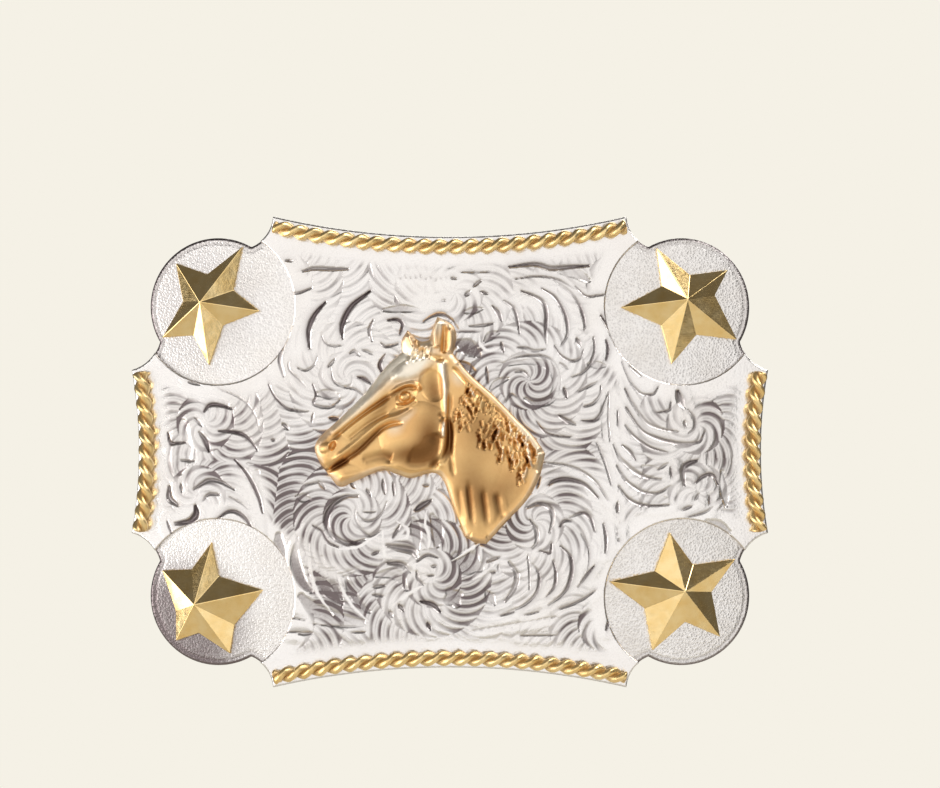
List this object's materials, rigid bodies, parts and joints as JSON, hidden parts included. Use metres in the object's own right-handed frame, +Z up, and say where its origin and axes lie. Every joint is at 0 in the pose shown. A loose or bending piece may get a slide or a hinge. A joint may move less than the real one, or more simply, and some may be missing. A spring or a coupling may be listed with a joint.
{
  "type": "belt buckle",
  "caption": "Curved Western dress belt buckle, engraved silver with gold rope edges, corner stars and a horse head; swinging bail and belt hook behind.",
  "frame": {"origin": "centre of the whole buckle's bounding box, with the bail folded flat behind the plate", "axes": "+X to the viewer's right across the face, +Z up as worn, the engraved face looks along -Y and the belt lies on the +Y side"},
  "size_m": [0.0952, 0.0164, 0.0698],
  "materials": {
    "silver": "silver plate, engraved, bright on top and grey in the cuts",
    "gold": "polished gold plate",
    "satin_gold": "satin gold plate with bright edges",
    "hardware": "nickel plate, lightly worn"
  },
  "bodies": {
    "buckle": {"base_plate": "silver", "face_plate": "silver", "rope_trim_top": "gold", "rope_trim_bottom": "gold", "rope_trim_left": "gold", "rope_trim_right": "gold", "star_top_right": "gold", "star_top_left": "gold", "star_bottom_left": "gold", "star_bottom_right": "gold", "horse_head": "satin_gold", "bail_saddle": "hardware", "saddle_rivets": "hardware", "hook_plate": "hardware", "hook_post": "hardware", "hook_rivets": "hardware"},
    "bail": {"bail": "hardware"}
  },
  "joints": [
    {"name": "bail_swing", "type": "hinge", "parent": "buckle", "child": "bail", "pos_m": [0.01382, 0.0011, 0], "axis": [0, 0, 1], "range_deg": [0, 180]}
  ]
}
